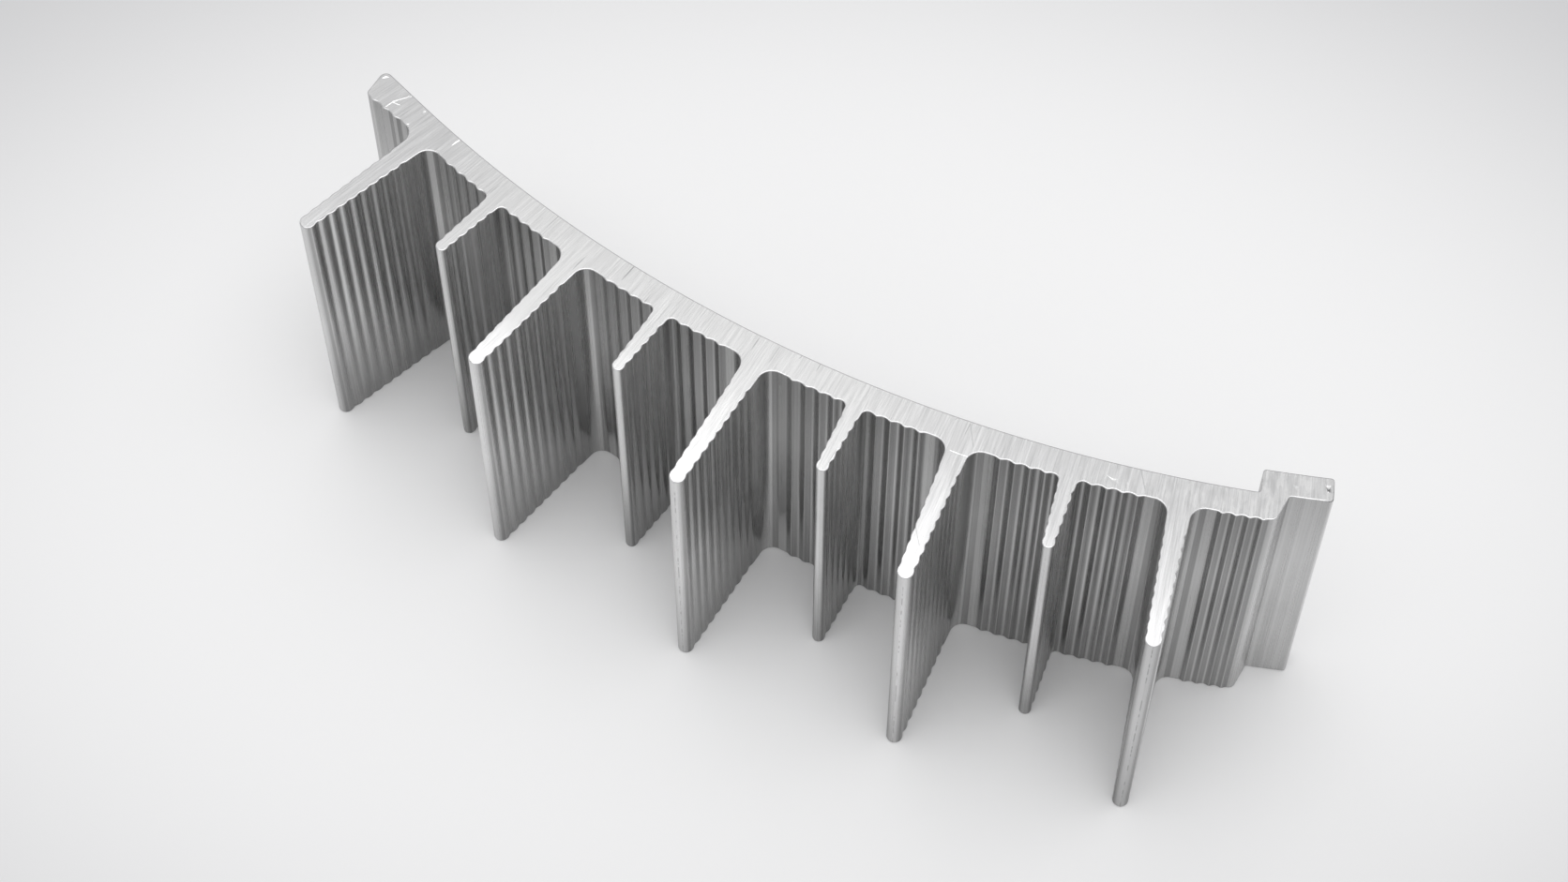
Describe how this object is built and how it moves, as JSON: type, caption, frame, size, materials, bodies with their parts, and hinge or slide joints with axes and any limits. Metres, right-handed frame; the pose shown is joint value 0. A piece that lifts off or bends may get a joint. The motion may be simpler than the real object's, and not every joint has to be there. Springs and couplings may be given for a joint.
{
  "type": "extruded heat sink",
  "caption": "Curved finned heat sink segment: rippled radial fins, tall and short in turn, on a concave seat, with a straight tongue at one end and an inset flange at the other.",
  "frame": {"origin": "middle of the lower sawn face's bounding box", "axes": "+Z along the extrusion, +X towards the flange end, -Y along the middle fin, away from the concave seat"},
  "size_m": [0.1226, 0.0366, 0.04],
  "materials": {
    "aluminium": "mill finish: satin die-drawn sides with fine lengthwise lines, and bright saw-cut ends with fine parallel streaks"
  },
  "bodies": {
    "root": {"heat_sink": "aluminium"}
  },
  "joints": []
}
